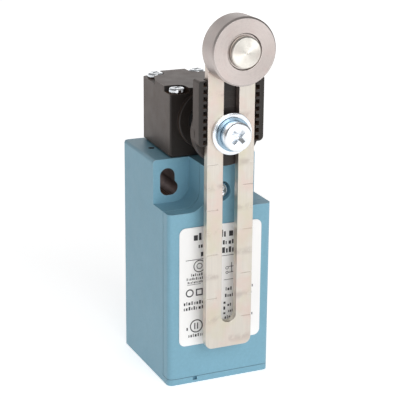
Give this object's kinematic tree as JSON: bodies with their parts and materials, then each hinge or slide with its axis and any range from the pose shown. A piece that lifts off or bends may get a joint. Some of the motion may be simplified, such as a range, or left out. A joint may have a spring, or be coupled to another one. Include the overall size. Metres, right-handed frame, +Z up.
{
  "type": "limit switch",
  "caption": "Limit switch with a blue plastic body, a black turret head, and a slotted steel lever of adjustable length that carries a metal roller.",
  "frame": {"origin": "On the flat rear mounting face of the body, midway between the two mounting holes, at the height of their round parts.", "axes": "+Z is up along the body, from the conduit entry to the head. +Y points backwards, out of the rear mounting face. +X is to the right seen from the front, where the lever is (-Y)."},
  "size_m": [0.03, 0.0476, 0.1023],
  "materials": {
    "blue_plastic": "moulded light blue plastic, satin, fine grain",
    "black_plastic": "moulded brown-black plastic, satin",
    "inner_plastic": "dark moulded thermoset",
    "ivory_plastic": "ivory moulded plastic",
    "label_film": "white printed film with plain bars and a contact diagram",
    "rubber": "black nitrile rubber",
    "nickel_plate": "nickel-plated steel, lengthwise brushed, engraved graduations",
    "turned_steel": "turned steel with circular tool marks",
    "bright_zinc": "bright zinc plate with a faint blue tint",
    "spring_steel": "spring steel",
    "bronze": "sintered bronze",
    "brass": "brass"
  },
  "bodies": {
    "body": {"body_housing": "blue_plastic", "front_cover": "blue_plastic", "cover_gasket": "rubber", "cover_screw": "bright_zinc", "rating_label": "label_film", "head_housing": "black_plastic", "head_gasket": "rubber", "head_screw_1": "bright_zinc", "head_screw_2": "bright_zinc", "head_screw_3": "bright_zinc", "head_screw_4": "bright_zinc", "spring_seat": "spring_steel", "return_spring": "spring_steel", "shaft_bushing": "bronze", "shaft_seal": "rubber", "contact_base": "inner_plastic", "carrier_spring": "spring_steel", "fixed_contact_nc_left": "brass", "fixed_contact_nc_right": "brass", "fixed_contact_no_left": "brass", "fixed_contact_no_right": "brass", "terminal_plate_nc_left": "bright_zinc", "terminal_plate_nc_right": "bright_zinc", "terminal_plate_no_left": "bright_zinc", "terminal_plate_no_right": "bright_zinc", "terminal_screw_nc_left": "bright_zinc", "terminal_screw_nc_right": "bright_zinc", "terminal_screw_no_left": "bright_zinc", "terminal_screw_no_right": "bright_zinc"},
    "shaft": {"rotary_shaft": "turned_steel", "operating_cam": "spring_steel", "shaft_clip": "spring_steel"},
    "holder": {"lever_holder": "black_plastic", "flat_washer": "bright_zinc", "spring_washer": "bright_zinc", "clamp_screw": "bright_zinc"},
    "lever": {"slotted_lever": "nickel_plate", "roller_pin": "turned_steel", "roller_spacer": "spring_steel"},
    "roller": {"roller": "turned_steel"},
    "pusher": {"pusher": "ivory_plastic"},
    "carrier": {"contact_carrier": "ivory_plastic", "nc_bridge": "brass", "no_bridge": "brass", "nc_bridge_spring": "spring_steel", "no_bridge_spring": "spring_steel"}
  },
  "joints": [
    {"name": "shaft_turn", "type": "hinge", "parent": "body", "child": "shaft", "pos_m": [0, -0.02, 0.018], "axis": [0, 1, 0], "range_deg": [-75, 75], "stiffness_Nm_per_rad": 0.15},
    {"name": "lever_index", "type": "hinge", "parent": "shaft", "child": "holder", "pos_m": [0, -0.031, 0.018], "axis": [0, 1, 0], "continuous": true},
    {"name": "lever_slide", "type": "slide", "parent": "holder", "child": "lever", "axis": [0, 0, 1], "range_m": [-0.004, 0.049]},
    {"name": "roller_spin", "type": "hinge", "parent": "lever", "child": "roller", "pos_m": [0, -0.0424, 0.0405], "axis": [0, 1, 0], "continuous": true},
    {"name": "pusher_slide", "type": "slide", "parent": "body", "child": "pusher", "axis": [0, 0, -1], "range_m": [0, 0.003], "stiffness_N_per_m": 800, "springref_m": -0.003, "deforming": ["return_spring"]},
    {"name": "carrier_slide", "type": "slide", "parent": "body", "child": "carrier", "axis": [0, 0, -1], "range_m": [0, 0.003], "stiffness_N_per_m": 300, "springref_m": -0.002, "deforming": ["carrier_spring"]}
  ],
  "couplings": [
    {"joint": "carrier_slide", "follows": "pusher_slide", "ratio": 1}
  ]
}
